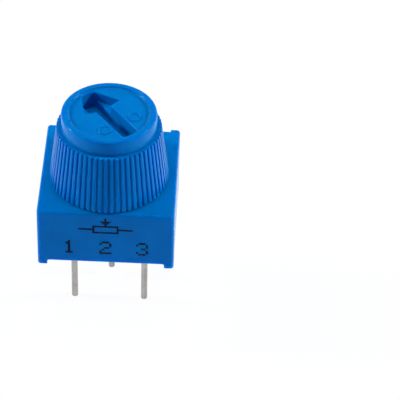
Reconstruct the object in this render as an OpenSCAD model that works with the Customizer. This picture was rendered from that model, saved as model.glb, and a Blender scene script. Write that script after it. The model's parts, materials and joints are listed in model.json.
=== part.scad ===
// Single-turn cermet trimmer potentiometer, 3/8 inch square, with a ribbed knob.
//
// Frame: +Z runs up the knob's axis, z = 0 is the board's surface under the feet, and
// x = y = 0 is the middle (wiper) terminal. The marked front wall faces -Y. The knob's
// axis and the two end terminals stand one terminal pitch in front of the middle one.

/* [Housing] */
// Width and depth of the square housing, over the rear strips
body_w = 9.53; // [9.4:0.01:11]
// Height of the housing, feet included
body_h = 4.83; // [4.7:0.01:6]
// Rear face of the strips to the middle terminal
rear_to_pin = 2.79; // [2.6:0.01:3.2]
// Thickness of the top plate
plate_t = 0.8; // [0.6:0.05:0.9]
// Radius of the vertical corners
corner_r = 0.25; // [0.1:0.05:0.4]
// Radius of the rounded top edges
edge_r = 0.18; // [0.05:0.01:0.3]
// Height of the feet
foot_h = 0.38; // [0.2:0.01:0.5]
// Width of a foot and of a rear strip
foot_w = 0.67; // [0.5:0.01:0.9]
// Length of a foot along the side wall
foot_l = 1.2; // [0.8:0.05:2]
// Radius of the fillet between a foot and the underside
foot_fillet = 0.15; // [0.05:0.01:0.18]
// How far the rear strips stand out from the rear wall
strip_d = 0.34; // [0.2:0.01:0.4]
// Thickness of the side walls beside the element
side_wall = 0.66; // [0.5:0.01:0.8]
// Thickness of the rear wall behind the element
rear_wall = 0.7; // [0.5:0.01:0.9]
// Radius of the element recess's corners
recess_r = 0.5; // [0.2:0.05:0.8]

/* [Knob] */
// Diameter of the knob at its foot, over the ribs
knob_d = 8.38; // [7.8:0.01:9]
// Diameter of the knob at its shoulder, over the ribs
shoulder_d = 7.28; // [7:0.01:7.6]
// Diameter of the smooth collar where it leaves the shoulder
collar_d = 6.62; // [6.5:0.01:6.7]
// Diameter of the rim at the top
rim_d = 6.6; // [6.3:0.01:6.62]
// Height of the knob
knob_h = 5.54; // [5.2:0.01:6.5]
// Height of the smooth collar above the shoulder
collar_h = 1.25; // [0.8:0.01:1.4]
// Radius of the rim's outer edge
rim_edge_r = 0.12; // [0.05:0.01:0.15]
// Diameter of the sunken face inside the rim
face_d = 5.68; // [5.5:0.01:5.9]
// Depth of the sunken face
face_sink = 0.2; // [0.1:0.01:0.3]
// How far the wall round the sunken face leans inwards
face_lean = 0.19; // [0.05:0.01:0.25]
// Gap between the knob and the housing
knob_gap = 0.13; // [0.05:0.01:0.4]
// Number of grip ribs
rib_count = 62; // [50:1:70]
// Radius of the flute between two ribs
flute_r = 0.14; // [0.1:0.01:0.15]
// Depth of a flute
flute_depth = 0.12; // [0.06:0.01:0.14]
// Thickness of the skirt's wall
skirt_t = 0.62; // [0.5:0.01:0.7]
// Thickness of the knob's floor under the driver slot
knob_floor = 0.6; // [0.4:0.05:0.8]
// Diameter of the hub inside the skirt
hub_d = 4.4; // [4:0.05:4.8]

/* [Driver slot] */
// Width of the arrow's shaft
slot_w = 1.17; // [0.9:0.01:1.3]
// Width over the arrow's barbs
head_w = 2.95; // [2.4:0.05:3.4]
// Distance from the axis to the barbs
head_back = 0.88; // [0.5:0.01:1]
// How far the back of the head leans forward at the barbs
barb_lean = 0.15; // [0:0.01:0.2]
// Distance from the axis to the arrow's unclipped point
head_tip = 3.55; // [3.2:0.05:4.2]
// Depth of the shaft's slot below the sunken face
slot_depth = 1.3; // [0.9:0.05:1.4]
// Depth of the arrow's barbs below the sunken face
barb_depth = 0.7; // [0.4:0.05:0.8]
// Diameter of the two raised moulding rings beside the shaft
ring_d = 0.92; // [0.6:0.02:1]
// How far the moulding rings lie behind the axis, along the arrow
ring_back = 1.28; // [1.2:0.02:1.4]
// How far a moulding ring lies from the arrow's middle line
ring_side = 1.23; // [1.2:0.01:1.4]
// Width of a moulding ring's line
ring_w = 0.1; // [0.05:0.01:0.2]
// Height of a moulding ring above the sunken face
ring_t = 0.05; // [0.02:0.01:0.1]

/* [Rotor and seal] */
// Diameter of the rotor's shaft
shaft_d = 3.0; // [2.6:0.05:3.2]
// Depth of the shaft's flat
shaft_flat = 0.4; // [0.2:0.05:0.6]
// How far the shaft enters the knob
shaft_in_knob = 3.0; // [2:0.1:3.3]
// Diameter of the rotor's disc
disc_d = 7.0; // [6.8:0.05:7.05]
// Thickness of the rotor's disc
disc_t = 0.6; // [0.5:0.05:0.65]
// Thickness of the O-ring's section
o_ring_t = 0.64; // [0.5:0.01:0.68]
// Whole travel of the knob from stop to stop, in degrees
travel_angle = 310; // [250:1:320]
// Turn of the knob from mid travel, as drawn
rest_turn = 38; // [-120:1:120]
// Inner radius of the stop on the rotor and of the stop in the housing
stop_r = 2.45; // [2.35:0.05:2.8]

/* [Element] */
// Thickness of the epoxy under the substrate
epoxy_t = 0.63; // [0.55:0.01:0.7]
// Thickness of the ceramic substrate
substrate_t = 0.64; // [0.5:0.01:0.7]
// Thickness of a printed film
film_t = 0.05; // [0.03:0.01:0.06]
// Mean radius of the resistive track
track_r = 3.28; // [3.26:0.01:3.3]
// Width of the resistive track
track_w = 0.44; // [0.3:0.01:0.46]
// Width of a printed conductor
conductor_w = 0.44; // [0.3:0.01:0.46]
// Radius of the collector in the middle
collector_r = 0.9; // [0.7:0.05:1.2]
// Angle that an end tab takes beyond the track
tab_angle = 18; // [12:1:20]
// Angle of travel at each end in which the wiper stands on the end tab
land_angle = 8; // [4:1:10]
// Width of the printed ring round a hole, on the track's side
pad_w = 0.13; // [0.1:0.01:0.2]
// Width of the printed ring round a hole, on the epoxy's side
under_pad_w = 0.35; // [0.3:0.01:0.4]

/* [Wiper] */
// Thickness of the wiper's strip
wiper_t = 0.1; // [0.06:0.01:0.12]
// Diameter of the wiper's plate
wiper_d = 4.1; // [3.9:0.05:4.3]
// Width of the window in the wiper's plate
window_w = 1.1; // [0.9:0.05:1.2]
// Distance from the axis to the window's back edge, where the middle arm starts
window_back = 0.8; // [0.7:0.05:0.85]
// Distance from the axis to the window's front edge
window_front = 1.3; // [1:0.05:1.4]
// Width of the middle arm
arm_w = 0.7; // [0.5:0.05:0.8]
// Width of one wiper finger
finger_w = 0.28; // [0.2:0.01:0.3]
// Gap between two wiper fingers
finger_gap = 0.12; // [0.08:0.01:0.2]
// Number of wiper fingers on the track
finger_count = 3; // [1:1:3]
// Diameter of the pegs that hold the wiper
peg_d = 0.6; // [0.4:0.05:0.7]
// Diameter of a peg's staked head
peg_head_d = 0.85; // [0.75:0.05:0.95]
// Thickness of a peg's staked head
peg_head_t = 0.12; // [0.08:0.01:0.2]
// Distance from the axis to a peg, across the arrow
peg_side = 1.3; // [1.25:0.05:1.35]
// How far the pegs lie behind the axis
peg_back = 0.9; // [0.8:0.05:1]

/* [Terminals] */
// Terminal pitch
pitch = 2.54; // [2.5:0.01:2.6]
// Diameter of a terminal
pin_d = 0.46; // [0.4:0.01:0.5]
// Length of an end terminal below the feet
pin_len = 6.9; // [3:0.1:8]
// Length of the middle terminal below the feet
mid_pin_len = 6.2; // [3:0.1:8]
// Chamfer at a terminal's tip
pin_tip = 0.08; // [0.02:0.01:0.15]
// Diameter of the shoulder that a terminal has under the substrate
seat_d = 0.84; // [0.8:0.01:0.9]
// How far the shoulders lie behind the epoxy's surface
seat_in = 0.03; // [0.02:0.01:0.1]
// How far a terminal stands above the films
pin_proud = 0.12; // [0.05:0.01:0.2]
// How far the epoxy stays back from the underside
epoxy_back = 0.05; // [0.02:0.01:0.15]
// How far the solder climbs up the shoulder's side
solder_rise = 0.12; // [0.05:0.01:0.2]
// How far the solder stays back from a printed ring's edge
solder_back = 0.05; // [0.02:0.01:0.08]

/* [Hidden] */
$fn = 72;

// Clearances
run_clear = 0.04;     // shaft in its bore, on the radius
turn_clear = 0.05;    // turning face to still face
contact_gap = 0.02;   // wiper tip to film, O-ring to the plate above it
seat_clear = 0.05;    // substrate to the walls around it
solder_clear = 0.07;  // terminal in its hole, filled with solder
solder_film = 0.03;   // terminal's shoulder to the printed ring above it
stop_gap = 0.6;       // degrees left between the stops at each end of travel
strip_lap = 0.1;      // how far a bent strip runs into the plate that it leaves
cut = 1;              // how far a cut runs out of the solid
full_turn = 360;      // degrees in a full turn

// Plan
axis_y = -pitch;
rear_y = rear_to_pin;
front_y = rear_y - body_w;
wall_y = rear_y - strip_d;
cavity_r = disc_d / 2 + 2 * turn_clear;
bore_r = shaft_d / 2 + run_clear;
recess_front = axis_y - cavity_r;
recess_rear = wall_y - rear_wall;
recess_x = body_w / 2 - side_wall;

// Heights, from the feet up
epoxy_z = foot_h + epoxy_back;
substrate_z = epoxy_z + epoxy_t;
substrate_top = substrate_z + substrate_t;
film_top = substrate_top + film_t;
pad_z = substrate_z - film_t;
seat_z = epoxy_z + seat_in;
seat_top = pad_z - solder_film;
pin_top = film_top + pin_proud;

// Heights, from the top plate down: the wiper takes what is left above the films
plate_z = body_h - plate_t;
disc_top = plate_z - o_ring_t - 2 * contact_gap;
disc_z = disc_top - disc_t;

// Heights of the knob
knob_z = body_h + knob_gap;
knob_top = knob_z + knob_h;
shoulder_z = knob_top - collar_h;
face_z = knob_top - face_sink;
slot_z = face_z - slot_depth;
hollow_z = slot_z - knob_floor;

// Bends of the wiper's strips
drop_l = 0.5;
toe_l = 0.16;
toe_h = 0.1;

// Angles
stop_half = (full_turn - travel_angle) / 4;
track_half = travel_angle / 2 - land_angle;

// Radii of the terminals and of what lies round them
pin_r = pin_d / 2;
seat_r = seat_d / 2;
hole_r = pin_r + solder_clear;
pad_r = hole_r + pad_w;
under_pad_r = hole_r + under_pad_w;
solder_r = under_pad_r - solder_back;
face_floor_r = face_d / 2 - face_lean;
pin_places = [[-pitch, axis_y], [0, 0], [pitch, axis_y]];

plastic = [0.05, 0.35, 0.75];
tin = [0.72, 0.72, 0.7];
silver = [0.82, 0.82, 0.8];

// ---------- helpers ----------

// Places what turns with the knob: its own +Y is the arrow's direction.
module on_axis() {
    translate([0, axis_y, 0]) rotate([0, 0, rest_turn]) children();
}

// Flat sector between two radii, from angle a0 to a1, both measured clockwise from +Y.
module sector(r0, r1, a0, a1, z, h) {
    translate([0, 0, z])
        rotate([0, 0, 90 - max(a0, a1)])
            rotate_extrude(angle = abs(a1 - a0))
                translate([r0, 0]) square([r1 - r0, h]);
}

// Rectangle with round corners, as arcs and straight sides.
module round_rect(x0, y0, x1, y1, r) {
    translate([x0 + r, y0]) square([x1 - x0 - 2 * r, y1 - y0]);
    translate([x0, y0 + r]) square([x1 - x0, y1 - y0 - 2 * r]);
    for (x = [x0 + r, x1 - r], y = [y0 + r, y1 - r])
        translate([x, y]) circle(r = r, $fn = 32);
}

// Points of an arc about c, from angle a0 to a1.
function arc(c, r, a0, a1, n = 6) =
    [for (i = [0 : n]) let (a = a0 + (a1 - a0) * i / n) c + r * [cos(a), sin(a)]];

// Unit normal of the path's segment i.
function seg_normal(p, i) =
    let (d = p[i + 1] - p[i]) [-d[1], d[0]] / norm(d);

// Mitred normal at point i of a path.
function mitre(p, i) =
    let (a = seg_normal(p, max(i - 1, 0)), b = seg_normal(p, min(i, len(p) - 2)), m = a + b)
    m * 2 / (m * m);

// Bent strip of thickness t and width w: path gives its middle line as [y, z] points.
module bent_strip(path, t, w) {
    last = len(path) - 1;
    above = [for (i = [0 : last]) path[i] + mitre(path, i) * t / 2];
    below = [for (i = [last : -1 : 0]) path[i] - mitre(path, i) * t / 2];
    rotate([90, 0, 90])
        translate([0, 0, -w / 2])
            linear_extrude(w) polygon(concat(above, below));
}

// ---------- housing ----------

// Square block with round vertical corners and round top edges.
module outer_block() {
    intersection() {
        linear_extrude(body_h) round_rect(-body_w / 2, front_y, body_w / 2, rear_y, corner_r);
        translate([0, rear_y, 0]) rotate([90, 0, 0])
            linear_extrude(body_w) round_rect(-body_w / 2, -cut, body_w / 2, body_h, edge_r);
        translate([-body_w / 2, 0, 0]) rotate([90, 0, 90])
            linear_extrude(body_w) round_rect(front_y, -cut, rear_y, body_h, edge_r);
    }
}

// Relief under the body that leaves the four feet, with a fillet at each foot.
module foot_relief() {
    rotate([90, 0, 0]) translate([0, 0, -rear_y - cut]) linear_extrude(body_w + 2 * cut)
        round_rect(foot_w - body_w / 2, -cut, body_w / 2 - foot_w, foot_h, foot_fillet);
    rotate([90, 0, 90]) translate([0, 0, -body_w / 2 - cut]) linear_extrude(body_w + 2 * cut)
        round_rect(front_y + foot_l, -cut, rear_y - foot_l, foot_h, foot_fillet);
}

// Relief behind the rear wall that leaves the two strips, and the wall's round top edge.
module strip_relief() {
    width = body_w - 2 * foot_w;
    translate([-width / 2, wall_y, -cut]) cube([width, strip_d + cut, body_h + 2 * cut]);
    translate([-width / 2, wall_y - edge_r, body_h - edge_r])
        rotate([90, 0, 90]) linear_extrude(width) difference() {
            square(edge_r + cut);
            circle(r = edge_r, $fn = 32);
        }
}

// Recess that takes the substrate and the epoxy.
module element_recess(clear = 0) {
    round_rect(-recess_x + clear, recess_front + clear,
               recess_x - clear, recess_rear - clear, recess_r - clear);
}

module housing() {
    color(plastic) {
        difference() {
            outer_block();
            foot_relief();
            strip_relief();
            translate([0, 0, -cut]) linear_extrude(substrate_top + cut) element_recess();
            translate([0, axis_y, substrate_top - cut])
                cylinder(r = cavity_r, h = plate_z - substrate_top + cut);
            translate([0, axis_y, 0]) cylinder(r = bore_r, h = body_h + cut);
        }
        stop_rib();
    }
}

// Fixed stop, in front of the axis: it hangs from the top plate and joins the cavity's wall.
module stop_rib() {
    reach = stop_half - stop_gap;
    translate([0, axis_y, 0])
        sector(stop_r, cavity_r + turn_clear, 180 - reach, 180 + reach, disc_top + turn_clear,
               plate_z - disc_top);
}

// ---------- knob ----------

// Outside of the knob as a revolved outline: skirt, shoulder, collar, rim and sunken face.
module knob_blank() {
    edge = [rim_d / 2 - rim_edge_r, knob_top - rim_edge_r];
    rotate_extrude($fn = 96) polygon(concat(
        [[0, knob_z], [knob_d / 2, knob_z], [shoulder_d / 2, shoulder_z], [collar_d / 2, shoulder_z]],
        arc(edge, rim_edge_r, 0, 90),
        [[face_d / 2, knob_top], [face_floor_r, face_z], [0, face_z]]));
}

// Flutes between the ribs, each laid along the skirt's slope and run out at both ends.
module flutes() {
    rise = shoulder_z - knob_z;
    lean = atan((knob_d - shoulder_d) / 2 / rise);
    out = flute_r - flute_depth;
    for (i = [0 : rib_count - 1])
        rotate([0, 0, i * full_turn / rib_count])
            translate([knob_d / 2 + out, 0, knob_z]) rotate([0, -lean, 0])
                translate([0, 0, -cut / 2]) cylinder(r = flute_r, h = rise + cut, $fn = 24);
}

// Driver slot's outline: an arrow that points along +Y.
module arrow_outline() {
    polygon([
        [-slot_w / 2, -rim_d / 2], [-slot_w / 2, head_back - barb_lean],
        [-head_w / 2, head_back], [0, head_tip], [head_w / 2, head_back],
        [slot_w / 2, head_back - barb_lean], [slot_w / 2, -rim_d / 2]]);
}

// Driver slot, cut off at the sunken face's edge: the shaft's width runs right across and
// deeper than the two barbs.
module arrow_slot() {
    intersection() {
        union() {
            translate([0, 0, face_z - barb_depth]) linear_extrude(barb_depth + cut) arrow_outline();
            translate([0, 0, slot_z]) linear_extrude(slot_depth + cut) intersection() {
                arrow_outline();
                square([slot_w, 2 * head_tip], center = true);
            }
        }
        translate([0, 0, slot_z - cut]) cylinder(r = face_floor_r, h = slot_depth + 2 * cut);
    }
}

// Moulding rings on the sunken face, one on each side of the arrow's shaft.
module moulding_rings() {
    for (side = [-1, 1])
        translate([side * ring_side, -ring_back, face_z - ring_t])
            difference() {
                cylinder(d = ring_d, h = 2 * ring_t, $fn = 32);
                translate([0, 0, -cut]) cylinder(d = ring_d - 2 * ring_w, h = 3 * cut, $fn = 32);
            }
}

// Space between the skirt and the hub, open below.
module knob_hollow() {
    depth = hollow_z - knob_z;
    foot_r = knob_d / 2 - skirt_t;
    top_r = foot_r - depth * (knob_d - shoulder_d) / 2 / (shoulder_z - knob_z);
    difference() {
        translate([0, 0, knob_z]) rotate_extrude()
            polygon([[0, -cut], [foot_r, -cut], [foot_r, 0], [top_r, depth], [0, depth]]);
        translate([0, 0, knob_z - cut]) cylinder(d = hub_d, h = depth + 2 * cut);
    }
}

// Shaft with its flat, from z up over height h.
module flatted_shaft(z, h) {
    translate([0, 0, z]) difference() {
        cylinder(d = shaft_d, h = h);
        translate([-shaft_d, shaft_d / 2 - shaft_flat, -cut])
            cube([2 * shaft_d, shaft_d, h + 2 * cut]);
    }
}

module knob() {
    color(plastic) on_axis() {
        difference() {
            knob_blank();
            flutes();
            arrow_slot();
            knob_hollow();
            flatted_shaft(knob_z - cut, shaft_in_knob + cut);
        }
        moulding_rings();
    }
}

// ---------- rotor, seal and wiper ----------

// Places of the two pegs that the wiper is staked on.
module at_pegs() {
    for (side = [-1, 1]) translate([side * peg_side, -peg_back, 0]) children();
}

module rotor() {
    reach = stop_half - stop_gap;
    color([0.9, 0.88, 0.8]) on_axis() {
        translate([0, 0, disc_z]) cylinder(d = disc_d, h = disc_t);
        translate([0, 0, disc_z]) cylinder(d = shaft_d, h = knob_z - disc_z);
        flatted_shaft(knob_z, shaft_in_knob);
        sector(stop_r, disc_d / 2, -reach, reach, disc_z, plate_z - turn_clear - disc_z);
        at_pegs() translate([0, 0, disc_z - wiper_t]) cylinder(d = peg_d, h = disc_t, $fn = 32);
        at_pegs() translate([0, 0, disc_z - wiper_t - peg_head_t])
            cylinder(d1 = peg_d, d2 = peg_head_d, h = peg_head_t, $fn = 32);
    }
}

module o_ring() {
    color([0.08, 0.08, 0.09]) translate([0, axis_y, disc_top + contact_gap + o_ring_t / 2])
        rotate_extrude() translate([(shaft_d + o_ring_t) / 2 + contact_gap, 0])
            circle(d = o_ring_t, $fn = 32);
}

// Bent contact path [y, z]: from the plate at y0 it runs level, drops to the film at y1
// and ends in a lifted tip.
function contact_path(y0, y1) =
    let (side = sign(y1 - y0),
         top = disc_z - wiper_t / 2,
         low = film_top + contact_gap + wiper_t / 2)
    [[y0, top],
     [y1 - side * drop_l, top - toe_h],
     [y1 - side * toe_l, low + toe_h],
     [y1, low],
     [y1 + side * toe_l, low + toe_h]];

module wiper() {
    plate_r = wiper_d / 2;
    step = finger_w + finger_gap;
    fan = finger_count * step - finger_gap;
    color([0.85, 0.65, 0.3]) on_axis() {
        difference() {
            translate([0, 0, disc_z - wiper_t]) linear_extrude(wiper_t) union() {
                circle(r = plate_r);
                translate([-fan / 2, 0]) square([fan, plate_r + 2 * strip_lap]);
            }
            translate([-window_w / 2, -window_back, 0])
                cube([window_w, window_back + window_front, body_h]);
            at_pegs() cylinder(d = peg_d, h = body_h, $fn = 32);
        }
        for (i = [0 : finger_count - 1])
            translate([(i - (finger_count - 1) / 2) * step, 0, 0])
                bent_strip(contact_path(plate_r + strip_lap, track_r), wiper_t, finger_w);
        bent_strip(contact_path(-window_back - strip_lap, 0), wiper_t, arm_w);
    }
}

// ---------- element ----------

module substrate() {
    color([0.93, 0.92, 0.88]) difference() {
        translate([0, 0, substrate_z]) linear_extrude(substrate_t) element_recess(seat_clear);
        for (p = pin_places)
            translate([p[0], p[1], 0]) cylinder(r = hole_r, h = body_h, $fn = 32);
    }
}

module resistive_track() {
    color([0.12, 0.12, 0.13]) translate([0, axis_y, 0])
        sector(track_r - track_w / 2, track_r + track_w / 2, -track_half, track_half,
               substrate_top, film_t);
}

// End conductor: a ring round the terminal's hole, an arc and a tab that meets the track's end.
module track_end(side) {
    place = pin_places[1 + side];
    tab_end = track_half + tab_angle;
    color(silver) difference() {
        union() {
            translate([place[0], place[1], substrate_top]) cylinder(r = pad_r, h = film_t, $fn = 32);
            translate([0, axis_y, 0]) {
                sector(pitch - conductor_w / 2, pitch + conductor_w / 2, side * 90, side * tab_end,
                       substrate_top, film_t);
                sector(pitch, track_r + track_w / 2, side * track_half, side * tab_end,
                       substrate_top, film_t);
            }
        }
        translate([place[0], place[1], 0]) cylinder(r = hole_r, h = body_h, $fn = 32);
    }
}

// Collector that the wiper's middle arm runs on, joined to the middle terminal.
module collector() {
    color(silver) difference() {
        union() {
            translate([0, axis_y, substrate_top]) cylinder(r = collector_r, h = film_t);
            translate([-conductor_w / 2, axis_y, substrate_top]) cube([conductor_w, pitch, film_t]);
            translate([0, 0, substrate_top]) cylinder(r = pad_r, h = film_t, $fn = 32);
        }
        cylinder(r = hole_r, h = body_h, $fn = 32);
    }
}

// Printed ring under the substrate that the solder holds to.
module pad(index) {
    place = pin_places[index];
    color(silver) translate([place[0], place[1], pad_z]) difference() {
        cylinder(r = under_pad_r, h = film_t, $fn = 32);
        translate([0, 0, -cut]) cylinder(r = hole_r, h = film_t + 2 * cut, $fn = 32);
    }
}

// ---------- terminals ----------

module terminal(index) {
    place = pin_places[index];
    below = index == 1 ? mid_pin_len : pin_len;
    color(tin) translate([place[0], place[1], 0]) rotate_extrude($fn = 48) polygon([
        [0, -below], [pin_r - pin_tip, -below], [pin_r, pin_tip - below],
        [pin_r, seat_z], [seat_r, seat_z], [seat_r, seat_top], [pin_r, seat_top],
        [pin_r, pin_top], [0, pin_top]]);
}

// Solder from the terminal's shoulder up through the hole, with a fillet at each face.
module solder(index) {
    place = pin_places[index];
    color(tin * 0.95) translate([place[0], place[1], 0]) rotate_extrude($fn = 48) polygon([
        [pin_r, seat_top], [seat_r, seat_top], [seat_r, seat_top - solder_rise],
        [solder_r, pad_z], [hole_r, pad_z], [hole_r, film_top],
        [pad_r - solder_back, film_top], [pin_r, pin_top]]);
}

// Room that a terminal and its solder take up in the epoxy.
module terminal_room() {
    rotate_extrude($fn = 48) polygon([
        [0, 0], [pin_r, 0], [pin_r, seat_z], [seat_r, seat_z], [seat_r, seat_top - solder_rise],
        [solder_r, pad_z], [under_pad_r, pad_z], [under_pad_r, body_h], [0, body_h]]);
}

module epoxy_seal() {
    color([0.1, 0.16, 0.3]) difference() {
        translate([0, 0, epoxy_z]) linear_extrude(substrate_z - epoxy_z) element_recess();
        for (place = pin_places) translate([place[0], place[1], 0]) terminal_room();
    }
}

housing();
knob();
rotor();
o_ring();
wiper();
substrate();
resistive_track();
track_end(-1);  // track_end_1
collector();
track_end(1);  // track_end_3
pad(0);  // pad_1
pad(1);  // pad_2
pad(2);  // pad_3
terminal(0);  // terminal_1
terminal(1);  // terminal_2
terminal(2);  // terminal_3
solder(0);  // solder_1
solder(1);  // solder_2
solder(2);  // solder_3
epoxy_seal();
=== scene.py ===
"""Looks of a single-turn trimmer potentiometer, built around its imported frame.

Lengths in the classes are millimetres in the part's own frame: +Z runs up the knob's axis,
z = 0 is the board's surface and the marked wall faces -Y. A finished mesh is scaled to metres
as its last step, so each object sits at the origin, unturned and unscaled.
"""

import json
import logging
import math
from collections.abc import Callable, Iterable, Sequence
from dataclasses import dataclass
from enum import Enum

import bmesh
import bpy
from bmesh.types import BMEdge, BMVert
from bpy.types import Material, Node, NodeSocket, NodeTree, Object
from mathutils import Matrix, Quaternion, Vector


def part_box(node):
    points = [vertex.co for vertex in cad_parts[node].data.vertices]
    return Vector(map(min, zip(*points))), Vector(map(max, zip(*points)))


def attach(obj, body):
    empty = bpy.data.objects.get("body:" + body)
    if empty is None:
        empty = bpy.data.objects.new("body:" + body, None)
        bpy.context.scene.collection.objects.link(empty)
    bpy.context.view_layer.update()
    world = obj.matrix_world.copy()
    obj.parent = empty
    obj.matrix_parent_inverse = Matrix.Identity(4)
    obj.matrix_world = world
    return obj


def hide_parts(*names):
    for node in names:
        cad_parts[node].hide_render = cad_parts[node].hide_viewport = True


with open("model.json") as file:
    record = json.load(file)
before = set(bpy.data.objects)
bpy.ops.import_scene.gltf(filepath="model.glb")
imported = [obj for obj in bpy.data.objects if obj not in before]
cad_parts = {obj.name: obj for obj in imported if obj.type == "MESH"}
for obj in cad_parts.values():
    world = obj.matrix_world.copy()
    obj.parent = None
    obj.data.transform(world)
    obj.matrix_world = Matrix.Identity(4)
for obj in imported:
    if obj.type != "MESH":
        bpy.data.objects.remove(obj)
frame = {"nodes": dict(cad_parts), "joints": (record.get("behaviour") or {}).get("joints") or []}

LOG = logging.getLogger("trimmer")
MM = 0.001
MERGE = 1e-4
FLAT_ANGLE = 0.3
SHARP_ANGLE = 38.0
NUMBERS = (1, 2, 3)
PATTERN_SPREAD = (0.2, 0.8)

Point = tuple[float, float, float]
Colour = tuple[float, float, float]
Profile = Sequence[tuple[float, float]]


class Body(Enum):
    """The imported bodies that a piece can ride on."""

    CASE = "case"
    SPINDLE = "spindle"


class Slot(Enum):
    """The record's material slots."""

    CASE = "case_plastic"
    KNOB = "knob_plastic"
    ROTOR = "rotor_plastic"
    RUBBER = "seal_rubber"
    ALLOY = "wiper_alloy"
    CERAMIC = "ceramic"
    CERMET = "cermet"
    SILVER = "silver_film"
    WIRE = "tinned_wire"
    SOLDER = "solder"
    EPOXY = "epoxy"


def corners(node: str) -> tuple[Vector, Vector]:
    """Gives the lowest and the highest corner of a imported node, in millimetres."""
    low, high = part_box(node)
    return low / MM, high / MM


def knob_axis() -> Vector:
    """Gives the point on the board under the knob's axis, in millimetres."""
    x, y, _ = frame["joints"][0]["pos_m"]
    return Vector((x / MM, y / MM, 0.0))


def rest_turn() -> float:
    """Gives the arrow's turn from +Y at rest, in radians: mid travel points to +Y."""
    low, high = frame["joints"][0]["range_deg"]
    return -math.radians(low + high) / 2


def arc(centre: tuple[float, float], radius: float, start: float, end: float,
        steps: int) -> list[tuple[float, float]]:
    """Gives points along a circle's arc, whose ends are angles in degrees."""
    angles = [math.radians(start + (end - start) * i / steps) for i in range(steps + 1)]
    return [(centre[0] + radius * math.cos(a), centre[1] + radius * math.sin(a)) for a in angles]


def round_rect(x0: float, y0: float, x1: float, y1: float, radius: float,
               steps: int = 8) -> list[tuple[float, float]]:
    """Gives the outline of a rectangle with round corners, anticlockwise."""
    return (arc((x1 - radius, y0 + radius), radius, -90, 0, steps)
            + arc((x1 - radius, y1 - radius), radius, 0, 90, steps)
            + arc((x0 + radius, y1 - radius), radius, 90, 180, steps)
            + arc((x0 + radius, y0 + radius), radius, 180, 270, steps))


def upright(edge: BMEdge) -> bool:
    """Tells whether an edge runs straight up."""
    return (edge.verts[0].co - edge.verts[1].co).xy.length < MERGE


# ---------- mesh building ----------


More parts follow.
